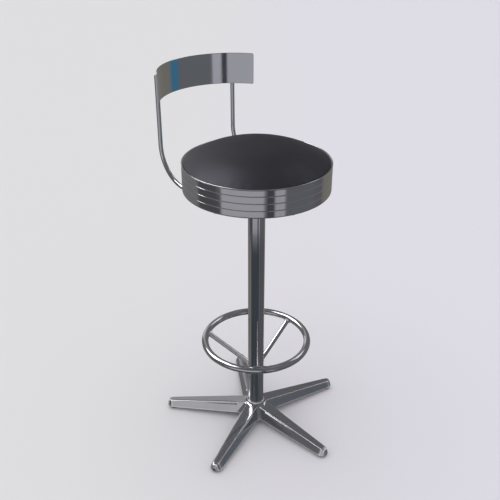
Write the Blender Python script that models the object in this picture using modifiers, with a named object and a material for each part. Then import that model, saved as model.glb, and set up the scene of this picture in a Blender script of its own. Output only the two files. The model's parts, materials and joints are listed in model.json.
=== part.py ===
"""Counter-height swivel stool: a chrome-banded round seat with a low wrap-around backrest
on a five-armed cast base.

Axes: Z up from the floor, the post on the Z axis, -Y the front.  Dimensions in metres.
"""

import math

import bpy
import bmesh
from mathutils import Matrix, Vector

# General
GAP = 0.0003                 # working clearance between neighbouring parts
ROUND_STEPS = 40             # facets of the large turned parts
FINE_STEPS = 24              # facets of the small turned parts
SEAT_TURN = math.radians(-4.3)   # how far the seat stands turned on its swivel

# Base casting
ARM_COUNT = 5
FIRST_ARM = math.radians(270)
ARM_WALL = 0.0036
ARM_EDGE = 0.0024            # rounding along the arm's upper edges
# Stations along one arm: distance from the axis, half width and height of the top face,
# half width and height of the lower edge
ARM_STATIONS = (
    (0.014, 0.0173, 0.0508, 0.0312, 0.0218),
    (0.2445, 0.0094, 0.0275, 0.0174, 0.0088),
    (0.2575, 0.0026, 0.0212, 0.0134, 0.0080),
    (0.2638, 0.0016, 0.0126, 0.0060, 0.0076),
)
POCKET_START = 0.054
POCKET_END = 0.231
HUB_BORE = 0.0226
HUB_TOP = 0.0665
HUB_WEB_TOP = 0.030
HUB_WEB_LOW = 0.022
BASE_BOLT_HOLE = 0.0065
WASHER_RADIUS = 0.018
GLIDE_REACH = 0.246
GLIDE_RADIUS = 0.0105
GLIDE_HEIGHT = 0.0075
STEM_RADIUS = 0.0036
STEM_TOP = 0.0185

# Post
POST_RADIUS = 0.0222
POST_BORE = 0.0202
POST_TOP = 0.676

# Foot ring
FOOT_RADIUS = 0.1414
FOOT_TUBE = 0.00985
FOOT_HEIGHT = 0.267
SPOKE_COUNT = 3
SPOKE_RADIUS = 0.0065
SPOKE_LOW = 0.182
FACET_TURN = math.radians(1.7)

# Swivel
SPINDLE_RADIUS = 0.010
BUSH_BORE = 0.0103
BEARING_LOW = POST_TOP + 0.0046
BEARING_TOP = BEARING_LOW + 0.003
FLANGE_LOW = 0.6982
FLANGE_TOP = 0.7042

# Seat carrier
PLATE_LOW = 0.7045
PLATE_TOP = 0.7085
PLATE_HALF = (0.136, 0.052)
BOLT_PLACES = ((-0.085, -0.034), (0.085, -0.034), (0.085, 0.034), (-0.085, 0.034))
BOLT_SHANK = 0.0038
BOLT_HOLE = 0.0042

# Seat
RING_RADIUS = 0.185
RING_WALL = 0.0015
RING_LOW = 0.7256
RING_TOP = 0.7966
GROOVES = (0.7439, 0.7614, 0.7790)
GROOVE_DEPTH = 0.0011
GROOVE_HALF = 0.0016
FLANGE_REACH = 0.1715
BOARD_LOW = 0.7201
BOARD_TOP = 0.7380
CROWN_START = 0.7970
CROWN_RISE = 0.0430
CROWN_RADIUS = 0.1832
COVER_THICK = 0.0012
RING_SCREWS = 6
RING_SCREW_RADIUS = 0.1772

# Backrest
BAND_CENTRE = 0.0884         # behind the post axis
BAND_RADIUS = 0.1776         # inner face
BAND_THICK = 0.0020
BAND_SPREAD = math.radians(59.3)
BAND_LOW = 0.9222
BAND_TOP = 1.0022
BAND_CORNER = 0.004
ROD_RADIUS = 0.0055
ROD_SIDE = 0.1218
ROD_BACK = 0.2286
ROD_TOP = 0.9826
ROD_BEND = 0.0923
ROD_RUN = 0.7143             # height of the run below the seat
ROD_FRONT = -0.046

FINISHES = {
    "chrome": ((0.62, 0.62, 0.64), 0.06, 1.0),
    "polished_aluminium": ((0.55, 0.55, 0.57), 0.14, 1.0),
    "vinyl": ((0.045, 0.045, 0.052), 0.48, 0.0),
    "foam": ((0.72, 0.66, 0.42), 0.95, 0.0),
    "plywood": ((0.55, 0.38, 0.20), 0.70, 0.0),
    "black_steel": ((0.03, 0.03, 0.03), 0.45, 0.0),
    "zinc": ((0.60, 0.61, 0.60), 0.35, 1.0),
    "nylon": ((0.80, 0.79, 0.74), 0.45, 0.0),
    "black_plastic": ((0.02, 0.02, 0.02), 0.50, 0.0),
}


def clear_scene():
    for obj in list(bpy.data.objects):
        bpy.data.objects.remove(obj, do_unlink=True)


def new_collection(name, hidden=False):
    collection = bpy.data.collections.new(name)
    bpy.context.scene.collection.children.link(collection)
    collection.hide_render = hidden
    return collection


def finish(obj, look):
    """Gives an object its own material."""
    colour, roughness, metallic = FINISHES[look]
    material = bpy.data.materials.new(obj.name + "_" + look)
    material.use_nodes = True
    shader = material.node_tree.nodes["Principled BSDF"]
    shader.inputs["Base Color"].default_value = (*colour, 1.0)
    shader.inputs["Roughness"].default_value = roughness
    shader.inputs["Metallic"].default_value = metallic
    obj.data.materials.clear()
    obj.data.materials.append(material)


def place(obj, look=None, parent=None):
    """Puts an object in the stool's collection, or among the cutters when it has no finish."""
    for collection in list(obj.users_collection):
        collection.objects.unlink(obj)
    if look is None:
        cutters.objects.link(obj)
        obj.hide_render = True
        obj.display_type = "WIRE"
    else:
        stool.objects.link(obj)
        finish(obj, look)
    obj.parent = parent
    return obj


def mesh_object(name, bm):
    bmesh.ops.recalc_face_normals(bm, faces=bm.faces)
    mesh = bpy.data.meshes.new(name)
    bm.to_mesh(mesh)
    bm.free()
    return bpy.data.objects.new(name, mesh)


def shade_round(obj):
    obj.data.shade_smooth()
    obj.data.set_sharp_from_angle(angle=math.radians(32))


def turned(name, profile, steps, loop=True):
    """A shape of revolution about Z from (radius, height) points down its outer side."""
    mesh = bpy.data.meshes.new(name)
    points = [(radius, 0.0, height) for radius, height in profile]
    edges = [(i, i + 1) for i in range(len(points) - 1)]
    if loop:
        edges.append((len(points) - 1, 0))
    mesh.from_pydata(points, edges, [])
    obj = bpy.data.objects.new(name, mesh)
    screw = obj.modifiers.new("turn", "SCREW")
    screw.axis = "Z"
    screw.angle = 2 * math.pi
    screw.steps = steps
    screw.render_steps = steps
    screw.use_merge_vertices = True
    screw.merge_threshold = 0.00005
    screw.use_smooth_shade = True
    return obj


def cylinder(name, radius, low, high, steps=FINE_STEPS, x=0.0, y=0.0):
    bm = bmesh.new()
    bmesh.ops.create_cone(bm, cap_ends=True, segments=steps, radius1=radius, radius2=radius,
                          depth=high - low)
    bmesh.ops.translate(bm, verts=bm.verts, vec=(x, y, (low + high) / 2))
    obj = mesh_object(name, bm)
    shade_round(obj)
    return obj


def combine(target, other, operation="DIFFERENCE"):
    modifier = target.modifiers.new(other.name, "BOOLEAN")
    modifier.operation = operation
    modifier.solver = "EXACT"
    modifier.object = other


def rod(name, points, radius, resolution=3):
    """A round bar along a run of points."""
    curve = bpy.data.curves.new(name, "CURVE")
    curve.dimensions = "3D"
    curve.bevel_depth = radius
    curve.bevel_resolution = resolution
    curve.use_fill_caps = True
    spline = curve.splines.new("POLY")
    spline.points.add(len(points) - 1)
    for point, place_at in zip(spline.points, points):
        point.co = (*place_at, 1.0)
    spline.use_smooth = True
    return bpy.data.objects.new(name, curve)


def as_mesh(obj):
    """Turns a curve object into a mesh object of the same name."""
    bpy.context.scene.collection.objects.link(obj)
    bpy.context.view_layer.update()
    graph = bpy.context.evaluated_depsgraph_get()
    mesh = bpy.data.meshes.new_from_object(obj.evaluated_get(graph))
    name = obj.name
    bpy.data.objects.remove(obj, do_unlink=True)
    bm = bmesh.new()
    bm.from_mesh(mesh)
    bmesh.ops.remove_doubles(bm, verts=bm.verts, dist=0.00001)
    bpy.data.meshes.remove(mesh)
    made = mesh_object(name, bm)
    shade_round(made)
    return made


def loft(name, sections):
    """Joins rings of points, all of one count, and closes both ends."""
    bm = bmesh.new()
    rings = [[bm.verts.new(point) for point in section] for section in sections]
    count = len(rings[0])
    for near, far in zip(rings, rings[1:]):
        for i in range(count):
            bm.faces.new((near[i], near[(i + 1) % count], far[(i + 1) % count], far[i]))
    bm.faces.new(rings[0])
    bm.faces.new(list(reversed(rings[-1])))
    return mesh_object(name, bm)


def turn_about_axis(obj, angle):
    obj.data.transform(Matrix.Rotation(angle, 4, "Z"))


# --- base ---------------------------------------------------------------------------------

def arm_body(name):
    """One arm along +X: a flat top with sloping sides, running to a blunt nose."""
    sections = []
    for reach, top_half, top, low_half, low in ARM_STATIONS:
        sections.append((
            (reach, -low_half, low),
            (reach, low_half, low),
            (reach, top_half, top),
            (reach, -top_half, top),
        ))
    arm = loft(name, sections)
    bm = bmesh.new()
    bm.from_mesh(arm.data)
    tops = [Vector((s[0], side * s[1], s[2])) for s in ARM_STATIONS for side in (-1, 1)]
    rounded = []
    for edge in bm.edges:
        ends = [vert.co for vert in edge.verts]
        on_top = all(min((co - top).length for top in tops) < 0.00001 for co in ends)
        if on_top and ends[0].y * ends[1].y > 0:
            rounded.append(edge)
    bmesh.ops.bevel(bm, geom=rounded, offset=ARM_EDGE, segments=2, profile=0.5, affect="EDGES")
    bmesh.ops.recalc_face_normals(bm, faces=bm.faces)
    bm.to_mesh(arm.data)
    bm.free()
    return arm


def arm_at(reach):
    """Half width and height of the top face, then of the lower edge, along the straight arm."""
    near, far = ARM_STATIONS[0], ARM_STATIONS[1]
    part = (reach - near[0]) / (far[0] - near[0])
    return [near[i] + part * (far[i] - near[i]) for i in range(1, 5)]


def arm_pocket(name):
    """The hollow below one arm."""
    sections = []
    for reach in (POCKET_START, POCKET_END):
        top_half, top, low_half, low = arm_at(reach)
        slope = (low_half - top_half) / (top - low)
        roof = top - ARM_WALL
        below = low - 0.006
        roof_half = top_half + slope * ARM_WALL - ARM_WALL
        below_half = low_half + slope * (low - below) - ARM_WALL
        sections.append((
            (reach, -below_half, below),
            (reach, below_half, below),
            (reach, roof_half, roof),
            (reach, -roof_half, roof),
        ))
    return loft(name, sections)


def build_base():
    hub_profile = [
        (0.0, HUB_TOP), (0.0246, HUB_TOP), (0.0256, HUB_TOP - 0.0012), (0.0262, 0.0600),
        (0.0290, 0.0545), (0.0345, 0.0492), (0.0430, 0.0400), (0.0545, 0.0262),
        (0.0560, HUB_WEB_LOW), (0.0, HUB_WEB_LOW),
    ]
    casting = turned("base_casting", hub_profile, ROUND_STEPS, loop=False)
    place(casting, "polished_aluminium")
    for index in range(ARM_COUNT):
        angle = FIRST_ARM + index * 2 * math.pi / ARM_COUNT
        arm = place(arm_body("arm_%d" % index))
        turn_about_axis(arm, angle)
        combine(casting, arm, "UNION")
    for index in range(ARM_COUNT):
        angle = FIRST_ARM + index * 2 * math.pi / ARM_COUNT
        pocket = place(arm_pocket("pocket_%d" % index))
        turn_about_axis(pocket, angle)
        combine(casting, pocket)
        stem = cylinder("stem_hole_%d" % index, STEM_RADIUS + GAP, -0.01, STEM_TOP + GAP,
                        steps=12, x=GLIDE_REACH)
        turn_about_axis(stem, angle)
        combine(casting, place(stem))
        build_glide(index, angle)
    bore = cylinder("hub_bore", HUB_BORE, HUB_WEB_TOP, 0.09, steps=ROUND_STEPS)
    combine(casting, place(bore))
    combine(casting, place(cylinder("hub_bolt_hole", BASE_BOLT_HOLE, 0.0, 0.05)))
    combine(casting, place(cylinder("washer_seat", WASHER_RADIUS + 0.004, 0.0, HUB_WEB_LOW)))


def build_glide(index, angle):
    profile = [
        (0.0, STEM_TOP), (STEM_RADIUS, STEM_TOP), (STEM_RADIUS, GLIDE_HEIGHT),
        (GLIDE_RADIUS, GLIDE_HEIGHT), (GLIDE_RADIUS, 0.0015), (GLIDE_RADIUS - 0.0015, 0.0),
        (0.0, 0.0),
    ]
    glide = turned("base_glide_%d" % (index + 1), profile, 14, loop=False)
    glide.location = (GLIDE_REACH * math.cos(angle), GLIDE_REACH * math.sin(angle), 0.0)
    place(glide, "black_plastic")


def build_base_fixing():
    washer = turned("base_washer", [
        (WASHER_RADIUS, HUB_WEB_LOW - GAP), (WASHER_RADIUS, 0.0190), (BASE_BOLT_HOLE, 0.0190),
        (BASE_BOLT_HOLE, HUB_WEB_LOW - GAP),
    ], FINE_STEPS)
    place(washer, "zinc")
    hex_bolt("base_bolt", 0.0, 0.0, 0.0187, 0.0450, 0.0105, 0.0080, 0.0058, "zinc")
    plug = turned("post_plug", [
        (POST_BORE - GAP, 0.0460), (POST_BORE - GAP, HUB_WEB_TOP + GAP),
        (0.0061, HUB_WEB_TOP + GAP), (0.0061, 0.0460),
    ], FINE_STEPS)
    place(plug, "zinc")


def hex_bolt(name, x, y, seat, tip, head_radius, head_height, shank, look, parent=None):
    """A hexagon bolt pointing up: its head below seat and its shank rising to tip."""
    bolt = cylinder(name, shank, seat - head_height / 2, tip, steps=12)
    head = cylinder(name + "_head", head_radius, seat - head_height, seat, steps=6)
    for obj in (bolt, head):
        obj.location = (x, y, 0.0)
    combine(bolt, place(head, parent=parent), "UNION")
    place(bolt, look, parent)


def build_post():
    tube = turned("post_tube", [
        (POST_RADIUS - 0.0005, POST_TOP), (POST_RADIUS, POST_TOP - 0.0005),
        (POST_RADIUS, HUB_WEB_TOP + GAP), (POST_BORE, HUB_WEB_TOP + GAP),
        (POST_BORE, POST_TOP),
    ], ROUND_STEPS)
    place(tube, "chrome")
    body = POST_BORE - GAP
    upper = turned("bush_upper", [
        (POST_RADIUS + 0.0012, BEARING_LOW - GAP), (POST_RADIUS + 0.0012, POST_TOP + GAP),
        (body, POST_TOP + GAP), (body, POST_TOP - 0.030), (BUSH_BORE, POST_TOP - 0.030),
        (BUSH_BORE, BEARING_LOW - GAP),
    ], FINE_STEPS)
    place(upper, "nylon")
    lower = turned("bush_lower", [
        (body, 0.580), (body, 0.560), (BUSH_BORE, 0.560), (BUSH_BORE, 0.580),
    ], FINE_STEPS)
    place(lower, "nylon")
    washer = turned("thrust_washer", [
        (0.0210, BEARING_TOP), (0.0210, BEARING_LOW), (BUSH_BORE, BEARING_LOW),
        (BUSH_BORE, BEARING_TOP),
    ], FINE_STEPS)
    place(washer, "zinc")


def foot_torus(name, tube):
    """A ring about the post.  Its facets stand clear of the spokes' centre planes."""
    bpy.ops.mesh.primitive_torus_add(
        major_radius=FOOT_RADIUS, minor_radius=tube, major_segments=44, minor_segments=10,
        location=(0.0, 0.0, FOOT_HEIGHT), rotation=(0.0, 0.0, FACET_TURN))
    torus = bpy.context.active_object
    torus.name = name
    torus.data.shade_smooth()
    return torus


def build_foot_ring():
    place(foot_torus("footrest_ring", FOOT_TUBE), "chrome")
    ring_room = place(foot_torus("ring_room", FOOT_TUBE + 0.0004))
    post_room = cylinder("post_room", POST_RADIUS + 0.0004, 0.10, 0.35, steps=ROUND_STEPS)
    turn_about_axis(post_room, FACET_TURN)
    place(post_room)
    for index in range(SPOKE_COUNT):
        angle = index * 2 * math.pi / SPOKE_COUNT
        across = Vector((math.cos(angle), math.sin(angle), 0.0))
        low = across * (POST_RADIUS - 0.008)
        low.z = SPOKE_LOW - 0.0048
        high = across * (FOOT_RADIUS - 0.004)
        high.z = FOOT_HEIGHT - 0.0024
        spoke = as_mesh(rod("footrest_spoke_%d" % (index + 1), (low, high), SPOKE_RADIUS, 2))
        combine(spoke, ring_room)
        combine(spoke, post_room)
        place(spoke, "chrome")


# --- seat ---------------------------------------------------------------------------------

def build_swivel():
    spindle = turned("swivel_spindle", [
        (0.0, FLANGE_TOP), (0.0450, FLANGE_TOP), (0.0450, FLANGE_LOW), (0.0200, FLANGE_LOW),
        (0.0180, BEARING_TOP + GAP), (SPINDLE_RADIUS, BEARING_TOP + GAP),
        (SPINDLE_RADIUS, 0.5430), (0.0, 0.5430),
    ], FINE_STEPS, loop=False)
    place(spindle, "zinc", swivel)
    nut = cylinder("spindle_nut", 0.0165, 0.5490, 0.5590, steps=6)
    nut_bore = cylinder("nut_bore", BUSH_BORE, 0.5400, 0.5700)
    combine(nut, place(nut_bore, parent=swivel))
    place(nut, "zinc", swivel)


def build_carrier():
    bm = bmesh.new()
    bmesh.ops.create_cube(bm, size=1.0)
    bmesh.ops.scale(bm, verts=bm.verts,
                    vec=(2 * PLATE_HALF[0], 2 * PLATE_HALF[1], PLATE_TOP - PLATE_LOW))
    bmesh.ops.translate(bm, verts=bm.verts, vec=(0.0, 0.0, (PLATE_LOW + PLATE_TOP) / 2))
    upright = [edge for edge in bm.edges
               if abs(edge.verts[0].co.z - edge.verts[1].co.z) > 0.001]
    bmesh.ops.bevel(bm, geom=upright, offset=0.012, segments=3, profile=0.5, affect="EDGES")
    plate = mesh_object("seat_carrier", bm)
    place(plate, "black_steel", swivel)
    for index, (x, y) in enumerate(BOLT_PLACES):
        hole = cylinder("carrier_hole_%d" % index, BOLT_HOLE, 0.69, 0.72, steps=12, x=x, y=y)
        combine(plate, place(hole, parent=swivel))
        spacer = turned("carrier_spacer_%d" % (index + 1), [
            (0.0085, BOARD_LOW - GAP), (0.0085, PLATE_TOP + GAP), (BOLT_HOLE, PLATE_TOP + GAP),
            (BOLT_HOLE, BOARD_LOW - GAP),
        ], 12)
        spacer.location = (x, y, 0.0)
        place(spacer, "zinc", swivel)
        hex_bolt("carrier_bolt_%d" % (index + 1), x, y, PLATE_LOW - GAP, 0.7345, 0.0075,
                 0.0052, BOLT_SHANK, "zinc", swivel)


def build_board():
    shoulder = RING_LOW + RING_WALL + GAP
    board = turned("seat_board", [
        (0.0, BOARD_TOP), (RING_RADIUS - RING_WALL - 0.0008, BOARD_TOP),
        (RING_RADIUS - RING_WALL - 0.0008, shoulder), (FLANGE_REACH - 0.0010, shoulder),
        (FLANGE_REACH - 0.0010, BOARD_LOW), (0.0, BOARD_LOW),
    ], ROUND_STEPS, loop=False)
    place(board, "plywood", swivel)
    for index, (x, y) in enumerate(BOLT_PLACES):
        hole = cylinder("board_hole_%d" % index, BOLT_HOLE, 0.70, 0.7350, steps=12, x=x, y=y)
        combine(board, place(hole, parent=swivel))
    return board


def build_ring():
    """The seat's outer band: a sheet hoop with a rolled lip, three grooves and a turned-in
    lower flange."""
    outer = RING_RADIUS
    inner = RING_RADIUS - RING_WALL
    profile = [
        (inner - 0.0012, RING_TOP - 0.0014), (inner - 0.0006, RING_TOP - 0.0003),
        (inner + 0.0004, RING_TOP), (outer, RING_TOP - 0.0006),
        (outer + 0.0004, RING_TOP - 0.0020), (outer, RING_TOP - 0.0034),
    ]
    for height in reversed(GROOVES):
        profile += [
            (outer, height + GROOVE_HALF), (outer - GROOVE_DEPTH, height),
            (outer, height - GROOVE_HALF),
        ]
    profile += [
        (outer, RING_LOW + 0.0030), (outer - 0.0008, RING_LOW + 0.0009),
        (outer - 0.0028, RING_LOW), (FLANGE_REACH, RING_LOW),
        (FLANGE_REACH, RING_LOW + RING_WALL), (inner - 0.0006, RING_LOW + RING_WALL),
        (inner - 0.0006, RING_LOW + 0.0060), (inner - 0.0002, RING_TOP - 0.0050),
    ]
    ring = turned("seat_ring", profile, ROUND_STEPS)
    place(ring, "chrome", swivel)
    return ring


def build_ring_screws(ring, board):
    for index in range(RING_SCREWS):
        angle = math.radians(15) + index * 2 * math.pi / RING_SCREWS
        x = RING_SCREW_RADIUS * math.cos(angle)
        y = RING_SCREW_RADIUS * math.sin(angle)
        hole = cylinder("screw_hole_%d" % index, 0.0022, 0.715, 0.7345, steps=8, x=x, y=y)
        place(hole, parent=swivel)
        combine(ring, hole)
        combine(board, hole)
        screw = turned("ring_screw_%d" % (index + 1), [
            (0.0, 0.7335), (0.0018, 0.7335), (0.0018, RING_LOW - GAP),
            (0.0040, RING_LOW - GAP), (0.0034, RING_LOW - 0.0022), (0.0, RING_LOW - 0.0026),
        ], 10, loop=False)
        screw.location = (x, y, 0.0)
        place(screw, "zinc", swivel)


def crown(radius):
    """Height of the cushion's upper face."""
    part = min(radius / CROWN_RADIUS, 1.0)
    return CROWN_START + CROWN_RISE * (1 - part ** 3.2) ** 1.25


def build_cushion():
    radii = (0.0, 0.030, 0.058, 0.084, 0.107, 0.128, 0.146, 0.160, 0.171, 0.1785)
    side = RING_RADIUS - RING_WALL - 0.0018
    outer = [(radius, crown(radius)) for radius in radii] + [(side, CROWN_START - 0.0015)]
    inner = [(radius, crown(radius) - COVER_THICK) for radius in radii[:-1]]
    inner += [(0.1770, crown(0.1785) - 0.0008), (side - COVER_THICK, CROWN_START - 0.0035)]
    skirt = BOARD_TOP + 0.004
    cover = turned(
        "seat_cover",
        outer + [(side, skirt), (side - COVER_THICK, skirt)] + list(reversed(inner)),
        ROUND_STEPS, loop=False)
    place(cover, "vinyl", swivel)
    under = [(radius, height - 0.0005) for radius, height in inner[:-2]]
    edge = side - COVER_THICK - 0.0005
    under += [(0.1762, crown(0.1785) - 0.0022), (edge, CROWN_START - 0.0050)]
    foam = turned(
        "seat_foam",
        under + [(edge, BOARD_TOP + GAP), (0.0, BOARD_TOP + GAP)],
        ROUND_STEPS, loop=False)
    place(foam, "foam", swivel)


def build_backrest():
    """A strip bent round a centre behind the post, with rounded corners at both ends."""
    length = BAND_SPREAD * BAND_RADIUS
    inset = [BAND_CORNER * (1 - math.cos(math.radians(a))) for a in (0, 30, 60, 90)]
    stops = [-length + value for value in inset]
    stops += [-length + BAND_CORNER + (2 * length - 2 * BAND_CORNER) * i / 28
              for i in range(1, 28)]
    stops += [length - value for value in reversed(inset)]
    bm = bmesh.new()
    columns = []
    for stop in stops:
        short = max(0.0, BAND_CORNER - (length - abs(stop)))
        trim = BAND_CORNER - math.sqrt(BAND_CORNER ** 2 - short ** 2)
        trim = min(trim, BAND_CORNER)
        angle = stop / BAND_RADIUS
        x = BAND_RADIUS * math.sin(angle)
        y = BAND_CENTRE + BAND_RADIUS * math.cos(angle)
        columns.append([bm.verts.new((x, y, BAND_LOW + trim)),
                        bm.verts.new((x, y, BAND_TOP - trim))])
    for left, right in zip(columns, columns[1:]):
        bm.faces.new((left[0], left[1], right[1], right[0]))
    mesh = bpy.data.meshes.new("backrest_band")
    bm.to_mesh(mesh)
    bm.free()
    band = bpy.data.objects.new("backrest_band", mesh)
    thick = band.modifiers.new("sheet", "SOLIDIFY")
    thick.thickness = BAND_THICK
    thick.offset = 1.0
    band.data.shade_smooth()
    place(band, "chrome", swivel)


def build_back_rods():
    for name, side in (("back_rod_left", -1), ("back_rod_right", 1)):
        x = side * ROD_SIDE
        points = [(x, ROD_BACK, ROD_TOP)]
        for step in range(9):
            angle = math.radians(90) * step / 8
            points.append((x, ROD_BACK - ROD_BEND * (1 - math.cos(angle)),
                           ROD_RUN + ROD_BEND * (1 - math.sin(angle))))
        points.append((x, ROD_FRONT, ROD_RUN))
        place(rod(name, points, ROD_RADIUS), "chrome", swivel)


clear_scene()
stool = new_collection("swivel_stool")
cutters = new_collection("cutters", hidden=True)
swivel = bpy.data.objects.new("seat_swivel", None)
stool.objects.link(swivel)
swivel.rotation_euler.z = SEAT_TURN

build_base()
build_base_fixing()
build_post()
build_foot_ring()
build_swivel()
build_carrier()
board = build_board()
ring = build_ring()
build_ring_screws(ring, board)
build_cushion()
build_backrest()
build_back_rods()
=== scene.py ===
import json
import math

import bmesh
import bpy
import numpy as np
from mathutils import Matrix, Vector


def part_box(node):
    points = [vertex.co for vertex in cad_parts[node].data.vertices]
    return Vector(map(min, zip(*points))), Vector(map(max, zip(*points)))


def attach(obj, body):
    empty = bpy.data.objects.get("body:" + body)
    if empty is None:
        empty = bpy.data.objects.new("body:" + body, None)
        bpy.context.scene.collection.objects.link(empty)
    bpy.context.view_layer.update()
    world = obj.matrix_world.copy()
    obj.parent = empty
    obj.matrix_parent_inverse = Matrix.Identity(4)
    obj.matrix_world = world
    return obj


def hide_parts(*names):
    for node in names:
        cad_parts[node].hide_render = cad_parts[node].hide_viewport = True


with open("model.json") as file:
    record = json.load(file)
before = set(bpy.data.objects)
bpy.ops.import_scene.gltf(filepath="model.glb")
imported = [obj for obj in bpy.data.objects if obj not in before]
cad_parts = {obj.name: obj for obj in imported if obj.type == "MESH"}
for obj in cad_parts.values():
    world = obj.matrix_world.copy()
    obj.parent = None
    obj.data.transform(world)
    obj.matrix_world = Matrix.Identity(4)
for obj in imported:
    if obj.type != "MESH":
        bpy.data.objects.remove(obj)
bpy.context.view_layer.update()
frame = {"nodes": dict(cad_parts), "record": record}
nodes = frame["nodes"]
print("frame loaded,", len(nodes), "nodes")

seatTurn = math.radians(-4.3)   # how far the seat stands turned on its swivel
tiny = 1e-6                     # radius of a closed tip


# small helpers for shapes

def turned(points, angle):
    # plane rotation about Z: (x cos a - y sin a, x sin a + y cos a, z)
    c, s = math.cos(angle), math.sin(angle)
    return np.asarray(points, float) @ np.array([[c, s, 0.0], [-s, c, 0.0], [0.0, 0.0, 1.0]])


def reach(name):
    # the farthest that a node's points lie from the post's axis
    co = np.zeros(len(nodes[name].data.vertices) * 3)
    nodes[name].data.vertices.foreach_get("co", co)
    co = co.reshape(-1, 3)
    return float(np.hypot(co[:, 0], co[:, 1]).max())


def gridFaces(rows, cols, loopRows=False, loopCols=False):
    # quad (i, j) (i + 1, j) (i + 1, j + 1) (i, j + 1) for every cell, wrapped where a side closes
    i, j = np.meshgrid(np.arange(rows if loopRows else rows - 1),
                       np.arange(cols if loopCols else cols - 1), indexing="ij")
    i2, j2 = (i + 1) % rows, (j + 1) % cols
    quads = np.stack([i * cols + j, i2 * cols + j, i2 * cols + j2, i * cols + j2], -1)
    return quads.reshape(-1, 4)


def makePiece(name, points, faces, body, stands, merge=0.00001):
    # the mesh gets its doubles merged and its faces turned outwards, then rides on its body
    mesh = bpy.data.meshes.new(name)
    points, faces = np.asarray(points, float).reshape(-1, 3), np.asarray(faces, int)
    mesh.vertices.add(len(points))
    mesh.vertices.foreach_set("co", points.ravel())
    mesh.loops.add(faces.size)
    mesh.loops.foreach_set("vertex_index", faces.ravel())
    mesh.polygons.add(len(faces))
    mesh.polygons.foreach_set("loop_start", np.arange(0, faces.size, 4))
    mesh.update(calc_edges=True)
    bm = bmesh.new()
    bm.from_mesh(mesh)
    bmesh.ops.remove_doubles(bm, verts=bm.verts, dist=merge)
    bmesh.ops.dissolve_degenerate(bm, edges=bm.edges, dist=merge)
    bmesh.ops.recalc_face_normals(bm, faces=bm.faces)
    bm.to_mesh(mesh)
    bm.free()
    mesh.polygons.foreach_set("use_smooth", np.ones(len(mesh.polygons), bool))
    piece = bpy.data.objects.new(name, mesh)
    bpy.context.scene.collection.objects.link(piece)
    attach(piece, body)
    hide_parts(*stands)
    return piece


def revolved(profile, steps, closed=True, centre=(0.0, 0.0)):
    # (cx + r cos a, cy + r sin a, z) for each angle a and each profile point (r, z)
    profile = np.asarray(profile, float)
    angles = np.linspace(0, 2 * math.pi, steps, endpoint=False)
    a, r, z = angles[:, None], profile[None, :, 0], profile[None, :, 1]
    points = np.stack([centre[0] + r * np.cos(a), centre[1] + r * np.sin(a), z + 0 * a], -1)
    return points.reshape(-1, 3), gridFaces(len(angles), len(profile), True, closed)


def rounded(corners, radius, steps=4):
    # each corner (r, z) is swapped for a quadratic curve from the point radius before it to
    # the point radius after it, with the corner as its control point
    c = np.asarray(corners, float)
    before, after = np.roll(c, 1, 0) - c, np.roll(c, -1, 0) - c
    lenB, lenA = np.linalg.norm(before, axis=1), np.linalg.norm(after, axis=1)
    cut = np.minimum(np.broadcast_to(radius, len(c)), 0.45 * np.minimum(lenB, lenA))[:, None]
    p0, p2 = c + before / lenB[:, None] * cut, c + after / lenA[:, None] * cut
    t = np.linspace(0, 1, steps)[None, :, None]
    curve = (1 - t) ** 2 * p0[:, None] + 2 * t * (1 - t) * c[:, None] + t ** 2 * p2[:, None]
    return curve.reshape(-1, 2)


def alongPath(path, radii, side, sides=28, closed=False):
    # circle round each path point: p + r (cos t side + sin t (tangent x side)), side made
    # square to the tangent
    path = np.asarray(path, float)
    if closed:
        tangent = np.roll(path, -1, 0) - np.roll(path, 1, 0)
    else:
        tangent = np.gradient(path, axis=0)
    tangent /= np.linalg.norm(tangent, axis=1)[:, None]
    side = np.broadcast_to(np.asarray(side, float), path.shape)
    side = side - tangent * np.sum(side * tangent, 1)[:, None]
    side = side / np.linalg.norm(side, axis=1)[:, None]
    up = np.cross(tangent, side)
    t = np.linspace(0, 2 * math.pi, sides, endpoint=False)[None, :, None]
    radii = np.broadcast_to(np.asarray(radii, float), len(path))[:, None, None]
    points = path[:, None] + radii * (np.cos(t) * side[:, None] + np.sin(t) * up[:, None])
    return points.reshape(-1, 3), gridFaces(len(path), sides, closed, True)


def bar(path, radius, side, sides=28, ease=0.0007):
    # a round bar with eased flat ends: the end rings shrink along a quarter circle of radius
    # ease, then to a point
    path = np.asarray(path, float)
    first = (path[1] - path[0]) / np.linalg.norm(path[1] - path[0])
    last = (path[-1] - path[-2]) / np.linalg.norm(path[-1] - path[-2])
    q = np.linspace(0, math.pi / 2, 5)
    head = path[0] + first * (ease - ease * np.cos(q))[:, None]
    headR = radius - ease + ease * np.sin(q)
    tail = path[-1] - last * (ease - ease * np.cos(q))[::-1][:, None]
    body = path[1:-1]
    return alongPath(
        np.concatenate([head[:1] - first * tiny, head, body, tail, tail[-1:] + last * tiny]),
        np.concatenate([[tiny], headR, np.full(len(body), radius), headR[::-1], [tiny]]),
        side, sides)


def joined(parts):
    # several (points, faces) grids as one, each grid's faces counted on from the last
    points, faces, first = [], [], 0
    for p, f in parts:
        points.append(p)
        faces.append(f + first)
        first += len(p)
    return np.concatenate(points), np.concatenate(faces)


# materials: a Wire is an output socket with arithmetic, a Finish is a material that adds nodes

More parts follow.
